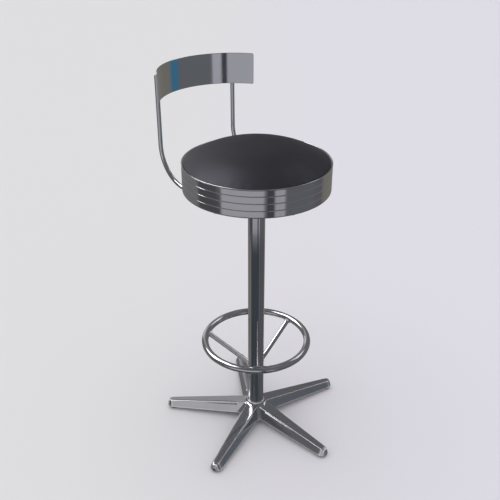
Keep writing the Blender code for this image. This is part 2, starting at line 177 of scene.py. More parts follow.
class Wire:
    def __init__(self, finish, socket):
        self.finish, self.socket = finish, socket

    def math(self, operation, other=None, swap=False):
        # this operation on the wire, or on the wire and other, or with swap the other way round
        pair = [self] if other is None else [other, self] if swap else [self, other]
        return self.finish.add("ShaderNodeMath", {"operation": operation},
                               dict(enumerate(pair)))

    def __add__(self, other):
        return self.math("ADD", other)

    def __sub__(self, other):
        return self.math("SUBTRACT", other)

    def __rsub__(self, other):
        return self.math("SUBTRACT", other, True)

    def __mul__(self, other):
        return self.math("MULTIPLY", other)

    __radd__, __rmul__ = __add__, __mul__

    def ramp(self, low, high, start=0.0, end=1.0):
        # straight change from start to end as the value goes from low to high, held outside
        return self.finish.add("ShaderNodeMapRange", {"clamp": True}, {
            "Value": self, "From Min": low, "From Max": high, "To Min": start, "To Max": end})

    def window(self, low, high, soft):
        # one between low and high, fading to nothing over soft on each side
        return self.ramp(low - soft, low + soft) * self.ramp(high - soft, high + soft, 1.0, 0.0)


class Finish:
    def __init__(self, name, **constants):
        self.material = bpy.data.materials.new(name)
        self.material.use_nodes = True
        self.tree = self.material.node_tree
        self.shader = self.tree.nodes["Principled BSDF"]
        self.place = self.add("ShaderNodeTexCoord", out="Object")
        for socket, value in constants.items():
            self.shader.inputs[socket.replace("_", " ")].default_value = value

    def add(self, kind, settings=None, values=None, out=0):
        # a node's settings first, then the values or wires of its sockets
        node = self.tree.nodes.new(kind)
        for key, value in (settings or {}).items():
            setattr(node, key, value)
        for key, value in (values or {}).items():
            if isinstance(value, Wire):
                self.tree.links.new(value.socket, node.inputs[key])
            else:
                node.inputs[key].default_value = value
        return Wire(self, node.outputs[out])

    def mapped(self, scale, turn=(0, 0, 0)):
        # object coordinates turned, and stretched where the scale is small
        return self.add("ShaderNodeMapping", None, {
            "Vector": self.place, "Rotation": turn, "Scale": scale})

    def noise(self, scale, detail=3.0, rough=0.5, vector=None, distortion=0.0):
        return self.add("ShaderNodeTexNoise", None, {
            "Vector": vector or self.place, "Scale": scale, "Detail": detail,
            "Roughness": rough, "Distortion": distortion})

    def mix(self, factor, first, second):
        return self.add("ShaderNodeMix", {"data_type": "RGBA"},
                        {0: factor, 6: first, 7: second}, 2)

    def bump(self, height, strength, distance):
        return self.add("ShaderNodeBump", None, {
            "Height": height, "Strength": strength, "Distance": distance})

    def feed(self, **sockets):
        # wires into the shader, by socket name with _ for a space
        for name, wire in sockets.items():
            self.tree.links.new(wire.socket, self.shader.inputs[name.replace("_", " ")])
        return self


class Sky(Finish):
    # the same tools on the nodes of a world
    def __init__(self, world):
        world.use_nodes = True
        self.tree = world.node_tree
        self.place = self.add("ShaderNodeTexCoord", out="Generated")


def grey(value, tint=(1.0, 1.0, 1.0)):
    return (value * tint[0], value * tint[1], value * tint[2], 1.0)


def edgeWearAndHighlight(f, low, high):
    # high where the surface is sharply convex; the paint's chips use it as real wear, the cast
    # base uses it as a painted highlight
    return f.add("ShaderNodeNewGeometry", out="Pointiness").ramp(low, high)


def makeChrome(name, tint, rough, scratchScale):
    # plated steel: near mirror, with hairline scratches, wiped smudges and faint waviness
    f = Finish(name, Metallic=1.0)
    smudge = f.noise(14.0, 4.0, 0.6).ramp(0.42, 0.72)
    haze = f.noise(3.5, 2.0, 0.5).ramp(0.35, 0.7)
    hair = f.noise(scratchScale, 2.0, 0.55, f.mapped((1.0, 1.0, 0.04))).ramp(0.60, 0.68)
    fine = f.noise(scratchScale * 1.7, 2.0, 0.5,
                   f.mapped((0.05, 1.0, 1.0), (0.3, 0.2, 0.6))).ramp(0.62, 0.69)
    scratch = (hair + fine) * f.noise(22.0, 2.0).ramp(0.5, 0.72)
    wave = f.noise(26.0, 1.0, 0.4)
    colour = f.mix(haze * 0.5, grey(0.66, tint), grey(0.56, tint))
    colour = f.mix(scratch * 0.25, colour, grey(0.80, tint))
    return f.feed(
        Base_Color=colour,
        Roughness=smudge * 0.05 + scratch * 0.12 + rough,
        Normal=f.bump(wave * 0.6 - scratch * 0.08, 0.05, 0.002)).material


def makeCastAluminium():
    # buffed casting: soft polish lines, a few pores, and sharp edges painted lighter as a painted
    # highlight
    f = Finish("buffed_aluminium", Metallic=1.0)
    buff = f.noise(420.0, 2.0, 0.5, f.mapped((1.0, 0.06, 1.0), (0.0, 0.0, 0.5)))
    cloud = f.noise(9.0, 3.0, 0.55).ramp(0.35, 0.7)
    pore = f.noise(900.0, 1.0, 0.5).ramp(0.73, 0.78)
    paintedEdgeHighlight = edgeWearAndHighlight(f, 0.502, 0.520)
    colour = f.mix(cloud * 0.6, grey(0.60, (0.98, 0.985, 1.02)), grey(0.53, (0.98, 0.98, 1.02)))
    # sharp edges painted near white, less metallic and rougher: a painted highlight
    colour = f.mix(paintedEdgeHighlight, colour, grey(0.85))
    colour = f.mix(pore * 0.6, colour, grey(0.22))
    return f.feed(
        Base_Color=colour,
        Metallic=1 - paintedEdgeHighlight * 0.55,
        Roughness=cloud * 0.05 + buff * 0.06 + 0.08 + paintedEdgeHighlight * 0.15,
        Normal=f.bump(buff * 0.25 - pore, 0.06, 0.0006)).material


def makeVinyl():
    # upholstery vinyl: pebble grain with finer pits, faint sitting sheen
    f = Finish("black_vinyl", Specular_IOR_Level=0.5, Specular_Tint=(0.91, 0.88, 1.0, 1))
    warp = f.noise(60.0, 2.0)
    pebble = f.add("ShaderNodeTexVoronoi", {"feature": "DISTANCE_TO_EDGE"}, {
        "Vector": f.place, "Scale": 620.0, "Randomness": 0.95}).ramp(0.0, 0.32)
    pits = f.noise(1900.0, 2.0, 0.6)
    polish = f.noise(7.0, 3.0, 0.55).ramp(0.35, 0.68)
    crease = f.noise(90.0, 3.0, 0.6, f.mapped((1.0, 0.35, 1.0), (0.0, 0.0, 0.7))).ramp(0.62, 0.75)
    colour = f.mix(polish, grey(0.012, (1.0, 0.95, 1.25)), grey(0.016, (1.0, 0.95, 1.25)))
    colour = f.mix((1 - pebble) * 0.35, colour, grey(0.010))
    return f.feed(
        Base_Color=colour,
        Roughness=0.41 - polish * 0.06 + (1 - pebble) * 0.07 + crease * 0.04,
        Normal=f.bump(pebble * 0.7 + pits * 0.25 + warp * 0.1 - crease * 0.2, 0.30,
                      0.0003)).material


def makePlywood():
    # birch ply: long rings on the faces, thin darker glue lines across the edge
    f = Finish("birch_plywood", Specular_IOR_Level=0.35)
    rings = f.noise(34.0, 4.0, 0.6, f.mapped((1.0, 0.12, 6.0)), 0.6)
    grain = f.noise(420.0, 3.0, 0.6, f.mapped((1.0, 0.05, 1.0)))
    height = f.add("ShaderNodeSeparateXYZ", None, {"Vector": f.place}, out=2)
    plies = (height * 2300.0).math("SINE").ramp(0.2, 0.9)
    colour = f.mix(rings.ramp(0.35, 0.65), (0.50, 0.34, 0.19, 1), (0.62, 0.46, 0.28, 1))
    colour = f.mix(grain.ramp(0.5, 0.8) * 0.4, colour, (0.30, 0.19, 0.10, 1))
    colour = f.mix(plies * 0.25, colour, (0.26, 0.16, 0.09, 1))
    return f.feed(Base_Color=colour, Roughness=grain * 0.2 + 0.55,
                  Normal=f.bump(grain, 0.2, 0.0004)).material


def makePaint(name, colour, worn, rough):
    # brushed or dipped paint with orange peel, rubbed to the metal along its edges
    f = Finish(name, Specular_IOR_Level=0.5)
    peel = f.noise(520.0, 2.0, 0.5)
    cloud = f.noise(18.0, 3.0, 0.6)
    chips = edgeWearAndHighlight(f, 0.52, 0.60) * f.noise(140.0, 3.0, 0.6).ramp(0.5, 0.62)
    shade = f.mix(cloud * 0.5, colour, tuple(c * 1.5 for c in colour[:3]) + (1,))
    return f.feed(Base_Color=f.mix(chips, shade, worn), Roughness=cloud * 0.12 + rough,
                  Metallic=chips * 0.8, Normal=f.bump(peel, 0.15, 0.0004)).material


def makeZinc():
    # bright zinc plate: spangled tone, turned fine lines, yellowish bloom
    f = Finish("zinc_plate", Metallic=1.0)
    spangle = f.add("ShaderNodeTexVoronoi", None, {"Vector": f.place, "Scale": 320.0},
                    out="Distance")
    lines = f.noise(700.0, 2.0, 0.5, f.mapped((0.1, 0.1, 1.0)))
    bloom = f.noise(40.0, 3.0, 0.6).ramp(0.45, 0.7)
    colour = f.mix(bloom * 0.6, grey(0.60), (0.55, 0.53, 0.44, 1))
    colour = f.mix(spangle * 0.3, colour, grey(0.72))
    return f.feed(Base_Color=colour, Roughness=spangle * 0.12 + bloom * 0.1 + 0.26,
                  Normal=f.bump(lines, 0.1, 0.0003)).material


def makeMoulded(name, dark, light, rough):
    # moulded plastic: fine spark-erosion texture, scuffs lighter than the body
    f = Finish(name, Specular_IOR_Level=0.45)
    texture = f.noise(1500.0, 2.0, 0.6)
    scuff = f.noise(160.0, 3.0, 0.65, f.mapped((1.0, 0.2, 1.0))).ramp(0.58, 0.72)
    tone = f.noise(30.0, 2.0)
    colour = f.mix(tone, dark, light)
    colour = f.mix(scuff * 0.3, colour, tuple(min(1.0, c * 2.2) for c in light[:3]) + (1,))
    return f.feed(Base_Color=colour, Roughness=scuff * 0.15 + texture * 0.1 + rough,
                  Normal=f.bump(texture, 0.15, 0.0002)).material


chrome = makeChrome("chrome_plate", (0.985, 0.985, 1.0), 0.045, 480.0)
bandChrome = makeChrome("chrome_sheet", (0.98, 0.985, 1.0), 0.055, 380.0)
castMetal = makeCastAluminium()
vinyl = makeVinyl()
plywood = makePlywood()
blackSteel = makePaint("black_enamel", (0.016, 0.016, 0.017, 1), (0.42, 0.40, 0.38, 1), 0.38)
zinc = makeZinc()
nylon = makeMoulded("natural_nylon", (0.58, 0.56, 0.49, 1), (0.70, 0.68, 0.61, 1), 0.40)
blackPlastic = makeMoulded("black_plastic", (0.012, 0.012, 0.013, 1), (0.022, 0.022, 0.023, 1),
                           0.45)
print("finishes made")


# base: five arms with rounded edges that flow into the hub

base = {
    "stations": ((0.2638, 0.0000, 0.0150, 0.0000, 0.0076),   # reach, top half, top, low half, low
                 (0.2636, 0.0024, 0.0160, 0.0060, 0.0076),
                 (0.2600, 0.0058, 0.0254, 0.0128, 0.0080),
                 (0.2520, 0.0086, 0.0268, 0.0171, 0.0087)),
    "inner": (0.0140, 0.0173, 0.0508, 0.0312, 0.0218),
    "topFillet": 0.0060, "lowFillet": 0.0100,   # between neighbouring arms
    "collar": 0.0246, "collarFillet": 0.0068, "bore": 0.0226,
    "edge": 0.0016, "lowEdge": 0.0010, "wall": 0.0036,
    "crown": 0.0004, "crownFrom": 0.045, "crownOver": 0.03,
    "pocket": (0.056, 0.229), "pocketEnd": 0.006, "pocketLean": 0.30,
    "webLow": 0.0220, "webTop": 0.0300, "boltHole": 0.0065,
    "lip": 0.0007, "lipFoot": 0.0243, "lipEdge": 0.0238, "firstArm": 270, "arms": 5,
    "rows": (25, 34, 13),   # along the nose, the straight and the crotch
}


def armOutline(s, column, fillet, rows):
    # one edge of an arm from its nose to the middle of the crotch: straight lines between
    # stations, then an arc of radius fillet that meets the mirror line 36 degrees round
    far = np.array([(p[0], p[column], p[column + 1]) for p in s["stations"]])
    near = np.array([s["inner"][0], s["inner"][column], s["inner"][column + 1]])
    slope = (far[-1] - near) / (far[-1, 0] - near[0])
    lean, half = math.atan(slope[1]), math.radians(36)
    apexX = (near[1] - slope[1] * near[0]) / (math.tan(half) - slope[1])
    apex = apexX / math.cos(half)
    centre = apex + fillet / math.sin(half - lean)
    angle = np.linspace(1.5 * math.pi + lean, math.pi + half, rows[2])
    arc = np.stack([centre * math.cos(half) + fillet * np.cos(angle),
                    centre * math.sin(half) + fillet * np.sin(angle)], 1)
    arcZ = near[2] + slope[2] * (arc[:, :1] - near[0])
    arc = np.concatenate([arc, arcZ], 1)
    knots = np.linspace(0, len(far) - 1, rows[0])
    nose = np.stack([np.interp(knots, np.arange(len(far)), far[:, k]) for k in range(3)], 1)
    t = np.linspace(0, 1, rows[1] + 2)[1:-1, None]
    straight = far[-1] * (1 - t) + arc[0] * t
    return np.concatenate([nose, straight, arc])


def eased(line, passes):
    # repeated quarter, half, quarter averaging rounds the corners; the ends mirror across the
    # arm's centre line
    line = line.copy()
    for _ in range(passes):
        wide = np.concatenate([line[1:2] * np.array([1, -1, 1]), line])
        line[:-1] = 0.25 * wide[:-2] + 0.5 * wide[1:-1] + 0.25 * wide[2:]
        line[0, 1] = 0.0
    return line


def between(a, b, t):
    # a (1 - t) + b t for every t
    return a[:, None] * (1 - t[None, :, None]) + b[:, None] * t[None, :, None]


def bent(a, corner, b, t):
    # quadratic curve from a to b with corner as its control point
    t = t[None, :, None]
    return (1 - t) ** 2 * a[:, None] + 2 * t * (1 - t) * corner[:, None] + t ** 2 * b[:, None]


def toward(a, b, distance):
    # the point that far from a on the way to b, at most 45% of the way
    gap = b - a
    length = np.maximum(np.linalg.norm(gap, axis=1), 1e-9)
    return a + gap / length[:, None] * np.minimum(distance, 0.45 * length)[:, None]


def buildBase(s):
    # half an arm is a grid: rows from the nose to the crotch, columns from the spine over the
    # top edge, down the side and up into the pocket; the half is mirrored, then turned by fifths
    rows = s["rows"]
    top = eased(armOutline(s, 1, s["topFillet"], rows), 1)
    low = eased(armOutline(s, 3, s["lowFillet"], rows), 2)
    count, arcs = len(top), rows[2]
    blend = np.clip((np.arange(count) - (count - arcs)) / (arcs - 1), 0, 1)
    low[:, 2] = low[:, 2] * (1 - blend) + s["webLow"] * blend
    spine = top.copy()
    spine[:, 1] = 0.0
    # towards the hub the inner ends leave the centre line and go round the collar
    turn36 = blend * math.radians(36)
    ring = np.stack([s["collar"] * np.cos(turn36), s["collar"] * np.sin(turn36), top[:, 2]], 1)
    start = top[count - arcs - 8, 0]
    share = np.clip((np.arange(count) - (count - arcs - 8)) / 8.0, 0, 1)
    spine[:, 0] = np.where(share > 0, start + (s["collar"] - start) * share, spine[:, 0])
    spine = np.where(blend[:, None] > 0, ring, spine)
    slope = (s["stations"][-1][2] - s["inner"][2]) / (s["stations"][-1][0] - s["inner"][0])
    planeZ = s["inner"][2] + slope * (np.hypot(spine[:, 0], spine[:, 1]) - s["inner"][0])
    spine[:, 2] = np.where(share > 0, planeZ, spine[:, 2])
    a, b = toward(top, spine, s["edge"]), toward(top, low, s["edge"])
    c = toward(low, top, s["lowEdge"])
    underMid = np.stack([spine[:, 0], spine[:, 1], low[:, 2]], 1)
    d = toward(low, underMid, s["lowEdge"])
    edgeIn = toward(low, underMid, s["wall"])
    # the pocket's depth share: smooth step up at its inner end, down at its outer end
    pocketIn, pocketOut = s["pocket"]
    deep = (np.clip((low[:, 0] - pocketIn) / s["pocketEnd"], 0, 1)
            * np.clip((pocketOut - low[:, 0]) / s["pocketEnd"], 0, 1))
    deep = deep * deep * (3 - 2 * deep)
    roofZ = low[:, 2] + deep * (top[:, 2] - s["wall"] - low[:, 2])
    roofEdge = edgeIn + (underMid - edgeIn) * (s["pocketLean"] * deep)[:, None]
    roofEdge[:, 2] = roofZ
    roofMid = underMid.copy()
    roofMid[:, 2] = roofZ
    upper = np.concatenate([
        between(spine, a, np.linspace(0, 1, 9)[:-1]),
        bent(a, top, b, np.linspace(0, 1, 11)),
        between(b, c, np.linspace(0, 1, 8)[1:-1]),
        bent(c, low, d, np.linspace(0, 1, 5)),
    ], 1)
    under = np.concatenate([
        between(d, edgeIn, np.linspace(0, 1, 3)[1:]),
        between(edgeIn, roofEdge, np.linspace(0, 1, 6)[1:]),
        between(roofEdge, roofMid, np.linspace(0, 1, 7)[1:]),
    ], 1)
    # a slight crown on the top faces and a fillet that climbs to the post
    r = np.hypot(upper[..., 0], upper[..., 1])
    climb = np.clip(s["collar"] + s["collarFillet"] - r, 0, s["collarFillet"])
    upper[..., 2] += s["collarFillet"] - np.sqrt(s["collarFillet"] ** 2 - climb ** 2)
    away = np.clip(np.abs(upper[:, :8, 1]) / np.maximum(np.abs(top[:, None, 1]), 1e-6), 0, 1)
    grown = np.clip((r[:, :8] - s["crownFrom"]) / s["crownOver"], 0, 1)
    upper[:, :8, 2] += s["crown"] * (1 - away ** 2) * grown
    sheet = np.concatenate([upper, under], 1)
    points, faces = sheet.reshape(-1, 3), gridFaces(*sheet.shape[:2])
    # collar, bore and web turned with the same angles as the arms' inner ends
    collarLow = upper[count - arcs:, 0, 2]
    angle = turn36[count - arcs:][:, None]
    hubTop = collarLow.max() + s["lip"]
    lip = rounded([(s["lipFoot"], hubTop - 0.0004), (s["lipEdge"], hubTop), (s["bore"], hubTop),
                   (s["bore"], s["webTop"]), (s["boltHole"], s["webTop"]),
                   (s["boltHole"], s["webLow"]), (s["collar"], s["webLow"])],
                  [0.00005, 0.0002, 0.0002, 0.0001, 0.0001, 0.0001, 0.0000001], 4)
    rise = np.array([0.0, 0.33, 0.66])
    lowZ = collarLow[:, None] * (1 - rise) + lip[0, 1] * rise
    radius = s["collar"] * (1 - rise) + lip[0, 0] * rise
    hub = np.concatenate([
        np.stack([radius * np.cos(angle), radius * np.sin(angle), lowZ], -1),
        np.stack([lip[None, :, 0] * np.cos(angle), lip[None, :, 0] * np.sin(angle),
                  lip[None, :, 1] + 0 * angle], -1)], 1)
    hub[:, -1] = sheet[count - arcs:, -1]
    hubPoints, hubFaces = hub.reshape(-1, 3), gridFaces(*hub.shape[:2])
    points, faces = joined([(points, faces), (hubPoints, hubFaces)])
    mirror = points * np.array([1, -1, 1])
    pair = joined([(points, faces), (mirror, faces[:, ::-1])])
    arms = [(turned(pair[0], math.radians(s["firstArm"] + 72 * k)), pair[1])
            for k in range(s["arms"])]
    points, faces = joined(arms)
    piece = makePiece("base_star", points, faces, "base", ["base_casting"],
                      0.00003)
    piece.data.materials.append(castMetal)


buildBase(base)


# feet: turned plastic glides

glide = {"radius": 0.0105, "height": 0.0075, "stem": 0.0036, "stemTop": 0.0175,
         "chamfer": (0.0012, 0.0016), "steps": 36}


def buildGlides(s):
    # a turned foot with a stem at the middle of each glide's box
    chamferIn, chamferUp = s["chamfer"]
    profile = rounded([(0.0, 0.0), (s["radius"] - chamferIn, 0.0), (s["radius"], chamferUp),
                       (s["radius"], s["height"]), (s["stem"], s["height"]),
                       (s["stem"], s["stemTop"]), (0.0, s["stemTop"])],
                      [0.0, 0.0008, 0.0008, 0.0006, 0.0004, 0.0003, 0.0], 4)
    for index in range(1, 6):
        low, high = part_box("base_glide_%d" % index)
        middle = (low + high) / 2
        points, faces = revolved(profile, s["steps"], True, (middle.x, middle.y))
        piece = makePiece("glide_%d" % index, points, faces, "base",
                          ["base_glide_%d" % index])
        piece.data.materials.append(blackPlastic)


buildGlides(glide)
print("base made")


# post and foot ring

post = {"wall": 0.0020, "ease": 0.0008, "steps": 96, "rows": 24}


def buildPost(s):
    # a turned tube wall with eased ends
    low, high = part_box("post_tube")
    r = reach("post_tube")
    profile = rounded([(r, low.z), (r, high.z), (r - s["wall"], high.z), (r - s["wall"], low.z)],
                      [0.0004, s["ease"], 0.0004, 0.0004], 5)
    middle = np.stack([np.full(s["rows"], r),
                       np.linspace(low.z + 0.001, high.z - 0.0015, s["rows"])], 1)
    profile = np.concatenate([profile[:5], middle, profile[5:]])
    points, faces = revolved(profile, s["steps"])
    piece = makePiece("post", points, faces, "base", ["post_tube"])
    piece.data.materials.append(chrome)


buildPost(post)

footRing = {"steps": 220, "sides": 36, "spokeRadius": 0.0065, "bead": 0.0021, "spokes": 3,
            "ripples": 22, "intoPost": 0.001, "intoRing": 0.004, "drop": 0.0024,
            "innerBead": 0.0024, "outerBead": 0.0052, "flare": 0.10, "flareOver": 0.02}


def weldRing(centre, axis, radius, bead, ripples, steps=120):
    # a bead laid round a joint: a circle square to axis, bead (1 + 0.16 cos(ripples t)) thick
    axis = np.asarray(axis, float) / np.linalg.norm(axis)
    side = np.cross(axis, [0.0, 0.0, 1.0] if abs(axis[2]) < 0.9 else [1.0, 0.0, 0.0])
    side /= np.linalg.norm(side)
    up = np.cross(axis, side)
    t = np.linspace(0, 2 * math.pi, steps, endpoint=False)[:, None]
    path = np.asarray(centre, float) + radius * (np.cos(t) * side + np.sin(t) * up)
    return alongPath(path, bead * (1 + 0.16 * np.cos(ripples * t[:, 0])), axis, 10, True)


def buildFootRing(s):
    # a torus of radius major and tube, and spokes from the post to it, welded at both ends
    low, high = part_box("footrest_ring")
    tube = (high.z - low.z) / 2
    centreZ, major = (high.z + low.z) / 2, reach("footrest_ring") - tube
    t = np.linspace(0, 2 * math.pi, s["sides"], endpoint=False)
    profile = np.stack([major + tube * np.cos(t), centreZ + tube * np.sin(t)], 1)
    points, faces = revolved(profile, s["steps"])
    ring = makePiece("foot_ring", points, faces, "base", ["footrest_ring"])
    ring.data.materials.append(chrome)
    ring.visible_glossy = False   # keeps the post's reflection plain
    for index in range(s["spokes"]):
        node = "footrest_spoke_%d" % (index + 1)
        a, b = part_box(node)
        angle = index * 2 * math.pi / s["spokes"]
        out = np.array([math.cos(angle), math.sin(angle), 0.0])
        postR = reach("post_tube")
        inner = out * (postR - s["intoPost"])
        inner[2] = a.z + s["spokeRadius"] * 1.05
        outer = out * (major - s["intoRing"])
        outer[2] = centreZ - s["drop"]
        line = inner + (outer - inner) * np.linspace(0, 1, 40)[:, None]
        # flares slightly into both welds
        d = np.linspace(0, 1, 42)
        ends = np.exp(-d / s["flareOver"]) + np.exp((d - 1) / s["flareOver"])
        flare = s["spokeRadius"] * (1 + s["flare"] * ends)
        along = (outer - inner) / np.linalg.norm(outer - inner)
        path = np.concatenate([line[:1] - along * tiny, line, line[-1:] + along * tiny])
        radii = np.concatenate([[tiny], flare[1:-1], [tiny]])
        spoke = alongPath(path, radii, np.cross(along, [0, 0, 1.0]), 28)
        inBead = weldRing(inner + along * s["innerBead"], along, s["spokeRadius"] + 0.0005,
                          s["bead"] * 0.8, s["ripples"])
        outBead = weldRing(outer - along * s["outerBead"], along, s["spokeRadius"] + 0.0004,
                           s["bead"], s["ripples"])
        points, faces = joined([spoke, inBead, outBead])
        piece = makePiece("foot_spoke_%d" % (index + 1), points, faces, "base", [node])
        piece.data.materials.append(chrome)


buildFootRing(footRing)
print("post and foot ring made")


# seat hoop: sheet band with a rolled lip, three pressed grooves and a turned-in flange

hoop = {"wall": 0.0015, "grooves": (0.0183, 0.0358, 0.0534), "depth": 0.0008, "half": 0.0012,
        "lip": 0.0004, "lipRadius": 0.0013, "turn": 0.003, "flange": 0.0135, "steps": 288,
        "rows": 220, "wallEnd": 0.0034}


def buildHoop(s):
    # the strip's section, both faces, turned about the axis
    low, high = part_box("seat_ring")
    outer = reach("seat_ring") - s["lip"]
    inner = outer - s["wall"]
    # outer wall from the lip down: r = R - depth cos^2 across each groove, a half-circle lip
    z = np.linspace(high.z - s["wallEnd"], low.z + s["wallEnd"], s["rows"])
    dip = sum(np.where(np.abs(z - low.z - g) < s["half"],
                       np.cos(np.pi / 2 * (z - low.z - g) / s["half"]) ** 2, 0.0)
              for g in s["grooves"])
    wall = np.stack([outer - s["depth"] * dip, z], 1)
    t = np.linspace(math.radians(200), math.radians(-50), 15)
    lipR, turn = s["lipRadius"], s["turn"]
    lip = np.stack([outer - lipR + s["lip"] + lipR * np.cos(t),
                    high.z - lipR + lipR * np.sin(t)], 1)
    q = np.linspace(0, math.pi / 2, 8)
    turnIn = np.stack([outer - turn + turn * np.cos(q), low.z + turn - turn * np.sin(q)], 1)
    reachIn = outer - s["flange"]
    inside = np.array([[reachIn, low.z], [reachIn, low.z + s["wall"]],
                       [inner - 0.004, low.z + s["wall"]], [inner - 0.0012, low.z + 0.0025],
                       [inner - 0.0004, low.z + 0.005], [inner - 0.0002, high.z - 0.005]])
    points, faces = revolved(np.concatenate([lip, wall, turnIn, inside]), s["steps"])
    piece = makePiece("seat_hoop", points, faces, "seat", ["seat_ring"])
    piece.visible_glossy = False   # the backrest mirrors the room, not the seat below it
    nodes["seat_board"].visible_glossy = False
    piece.data.materials.append(bandChrome)


buildHoop(hoop)


# backrest: curved strip with eased edges and rounded corners, on two bent rods

back = {"centre": 0.0884, "radius": 0.1776, "thick": 0.0020, "spread": 59.3, "corner": 0.0042,
        "columns": 170}


def buildBand(s):
    # a closed loop round the strip's section at each stop along its arc; near the ends the
    # loop's height shrinks along the corner circle and its thickness along the edge circle
    low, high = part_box("backrest_band")
    length = math.radians(s["spread"]) * s["radius"]
    near = length - s["corner"] * (1 - np.cos(np.linspace(0, math.pi / 2, 10)))
    edge = length - 0.5 * s["thick"] * (1 - np.cos(np.linspace(0, math.pi / 2, 5)))
    ends = np.unique(np.round(np.concatenate([near, edge]), 7))
    stops = np.concatenate([-ends[::-1], np.linspace(-ends[0], ends[0], s["columns"])[1:-1], ends])
    gap = length - np.abs(stops)
    short = np.clip(s["corner"] - gap, 0, s["corner"])
    half = (high.z - low.z) / 2 - s["corner"] + np.sqrt(s["corner"] ** 2 - short ** 2)
    thin = np.clip(s["thick"] / 2 - gap, 0, s["thick"] / 2)
    thick = np.sqrt((s["thick"] / 2) ** 2 - thin ** 2)
    flat = np.array([-1.0, -0.985, -0.6, -0.2, 0.2, 0.6, 0.985, 1.0])
    q = np.linspace(math.pi / 2, -math.pi / 2, 9)
    # loop points as (thickness share, height share of the straight part, height in thicknesses)
    loop = np.concatenate([
        np.stack([np.ones(8), flat, np.zeros(8)], 1),
        np.stack([np.sin(q[1:-1]), np.ones(7), np.cos(q[1:-1])], 1),
        np.stack([-np.ones(8), flat[::-1], np.zeros(8)], 1),
        np.stack([np.sin(-q[1:-1]), -np.ones(7), -np.cos(q[1:-1])], 1)])
    r = s["radius"] + s["thick"] / 2 + loop[None, :, 0] * thick[:, None]
    z = ((high.z + low.z) / 2 + loop[None, :, 1] * (half - thick)[:, None]
         + loop[None, :, 2] * thick[:, None])
    a = (stops / s["radius"])[:, None]
    points = np.stack([r * np.sin(a), s["centre"] + r * np.cos(a), z], -1).reshape(-1, 3)
    faces = gridFaces(len(stops), len(loop), False, True)
    piece = makePiece("backrest", turned(points, seatTurn), faces, "seat", ["backrest_band"],
                      0.00004)
    piece.visible_glossy = False   # no double reflections inside the curve
    piece.data.materials.append(bandChrome)


buildBand(back)

rods = {"radius": 0.0055, "side": 0.1218, "back": 0.2286, "bend": 0.0923, "front": -0.046,
        "bead": 0.0015, "beadGap": 0.0024, "beadEnds": (0.004, 0.046), "beadSteps": 90,
        "ripple": 4200}


def buildRods(s):
    # straight up, a quarter circle of radius bend, then level under the seat
    for name, sign in (("back_rod_left", -1), ("back_rod_right", 1)):
        low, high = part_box(name)
        run = low.z + s["radius"]
        q = np.linspace(0, math.pi / 2, 40)
        upright = np.stack([np.full(30, s["back"]), np.linspace(high.z, run + s["bend"], 30)], 1)
        curve = np.stack([s["back"] - s["bend"] * (1 - np.cos(q)),
                          run + s["bend"] * (1 - np.sin(q))], 1)
        level = np.stack([np.linspace(s["back"] - s["bend"], s["front"], 20), np.full(20, run)], 1)
        yz = np.concatenate([upright, curve[1:], level[1:]])
        path = np.column_stack([np.full(len(yz), sign * s["side"]), yz])
        rod = bar(path, s["radius"], [1.0, 0.0, 0.0])
        # two weld beads hold each rod to the strip
        toBand = np.array([sign * s["side"], s["back"] - back["centre"], 0.0])
        toBand /= np.linalg.norm(toBand)
        across = np.array([-toBand[1], toBand[0], 0.0])
        beads = []
        steps = s["beadSteps"]
        z = np.linspace(high.z - s["beadEnds"][0], high.z - s["beadEnds"][1], steps)
        taper = np.sin(np.linspace(0.02, math.pi - 0.02, steps)) ** 0.25
        thick = s["bead"] * (1 + 0.15 * np.cos(z * s["ripple"])) * taper
        for lean in (-1, 1):
            spot = path[0] - toBand * (s["radius"] + 0.0001) + across * lean * s["beadGap"]
            line = np.column_stack([np.full(steps, spot[0]), np.full(steps, spot[1]), z])
            beads.append(alongPath(line, thick, [1.0, 0.0, 0.0], 10))
        points, faces = joined([rod] + beads)
        piece = makePiece(name.replace("back_rod", "back_bar"), turned(points, seatTurn), faces,
                          "seat", [name])
        piece.visible_glossy = False
        piece.data.materials.append(chrome)


buildRods(rods)
print("hoop, backrest and rods made")


# cushion: a crowned pad inflated inside the hoop

cushion = {"rise": 0.0405, "power": 3.2, "ease": 1.25, "side": 0.1820, "voxel": 0.0045,
           "pressure": 4.0, "cap": 0.006, "hold": 0.0015, "frames": 20,
           "tension": 18, "bending": 0.6, "below": 0.0004, "steps": 180}


def cushionForm(s):
    # closed form turned about the axis: z = rim + rise (1 - (r / R)^power)^ease above, a
    # straight side, and a flat bottom on the board
    low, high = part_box("seat_foam")
    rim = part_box("seat_ring")[1].z - s["below"]
    r = s["side"] * np.sin(np.linspace(0, math.pi / 2, 60))
    crown = rim + s["rise"] * (1 - (r / s["side"]) ** s["power"]) ** s["ease"]
    side = np.stack([np.full(14, s["side"]), np.linspace(rim - 0.002, low.z + 0.003, 14)], 1)
    floorR = np.linspace(s["side"] - 0.003, 0.0, 30)
    floor = np.stack([floorR, np.full(30, low.z)], 1)
    profile = np.concatenate([np.stack([r, crown], 1), side, floor])
    return revolved(profile, s["steps"], False)


